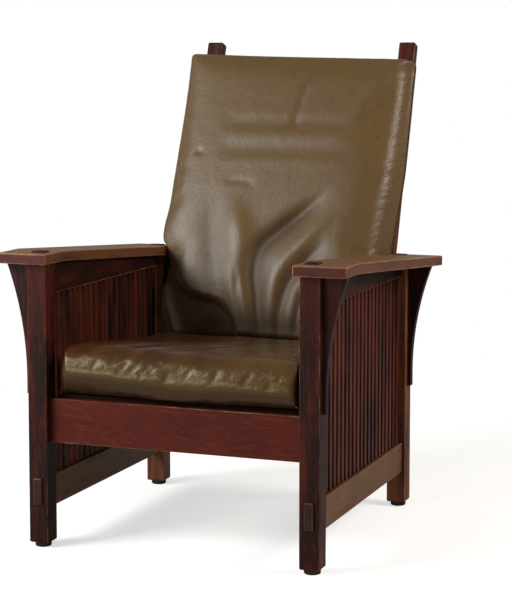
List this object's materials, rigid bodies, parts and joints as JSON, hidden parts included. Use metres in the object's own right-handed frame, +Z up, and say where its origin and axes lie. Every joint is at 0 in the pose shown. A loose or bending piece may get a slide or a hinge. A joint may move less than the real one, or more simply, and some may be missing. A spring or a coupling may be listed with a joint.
{
  "type": "reclining armchair",
  "caption": "Mission oak armchair with falling arms, square spindles and corbels, loose leather cushions and a back that leans on a support bar",
  "frame": {"origin": "On the floor, at the bottom centre of the chair's box", "axes": "+X to the right as seen from the front, -Y the way the chair faces, +Z up"},
  "size_m": [0.817, 0.97, 1.1358],
  "materials": {
    "stained_oak": "satin",
    "plain_wood": "matte",
    "cushion_leather": "satin",
    "jute_webbing": "matte",
    "glide_steel": "satin",
    "pin_steel": "satin",
    "screw_brass": "satin"
  },
  "bodies": {
    "frame": {"front_leg_left": "stained_oak", "front_leg_right": "stained_oak", "rear_leg_left": "stained_oak", "rear_leg_right": "stained_oak", "foot_glides": "glide_steel", "arm_left": "stained_oak", "arm_right": "stained_oak", "arm_rail_left": "stained_oak", "arm_rail_right": "stained_oak", "side_rail_left": "stained_oak", "side_rail_right": "stained_oak", "spindles_left": "stained_oak", "spindles_right": "stained_oak", "front_rail": "stained_oak", "rear_rail": "stained_oak", "front_corbel_left": "stained_oak", "front_corbel_right": "stained_oak", "rear_corbel_left": "stained_oak", "rear_corbel_right": "stained_oak", "seat_cleat_front": "plain_wood", "seat_cleat_rear": "plain_wood", "cleat_screws": "screw_brass", "rack_left": "stained_oak", "rack_right": "stained_oak", "rack_screws": "screw_brass", "pivot_spacers": "stained_oak"},
    "back_frame": {"back_upright_left": "stained_oak", "back_upright_right": "stained_oak", "back_slat_1": "stained_oak", "back_slat_2": "stained_oak", "back_slat_3": "stained_oak", "back_slat_4": "stained_oak", "back_slat_5": "stained_oak", "pivot_pins": "pin_steel"},
    "back_cushion": {"back_cushion": "cushion_leather"},
    "seat_frame": {"seat_frame_front": "plain_wood", "seat_frame_rear": "plain_wood", "seat_frame_left": "plain_wood", "seat_frame_right": "plain_wood", "webbing_lengthwise": "jute_webbing", "webbing_crosswise": "jute_webbing"},
    "seat_cushion": {"seat_cushion": "cushion_leather"},
    "support_bar": {"support_bar": "stained_oak"}
  },
  "joints": [
    {"name": "back_recline", "type": "hinge", "parent": "frame", "child": "back_frame", "pos_m": [0, 0.20598, 0.361], "axis": [-1, 0, 0], "range_deg": [0, 22]},
    {"name": "support_bar", "type": "slide", "parent": "frame", "child": "support_bar", "axis": [0, 0.8652, -0.5015], "range_m": [0, 0.0898]},
    {"name": "back_cushion_lift", "type": "slide", "parent": "back_frame", "child": "back_cushion", "axis": [0, 0.3272, 0.9449], "range_m": [0, 0.12]},
    {"name": "seat_frame_lift", "type": "slide", "parent": "frame", "child": "seat_frame", "axis": [0, 0, 1], "range_m": [0, 0.05]},
    {"name": "seat_cushion_lift", "type": "slide", "parent": "seat_frame", "child": "seat_cushion", "axis": [0, 0, 1], "range_m": [0, 0.15]}
  ],
  "couplings": [
    {"joint": "support_bar", "follows": "back_recline", "m_per_rad": 0.2335}
  ]
}
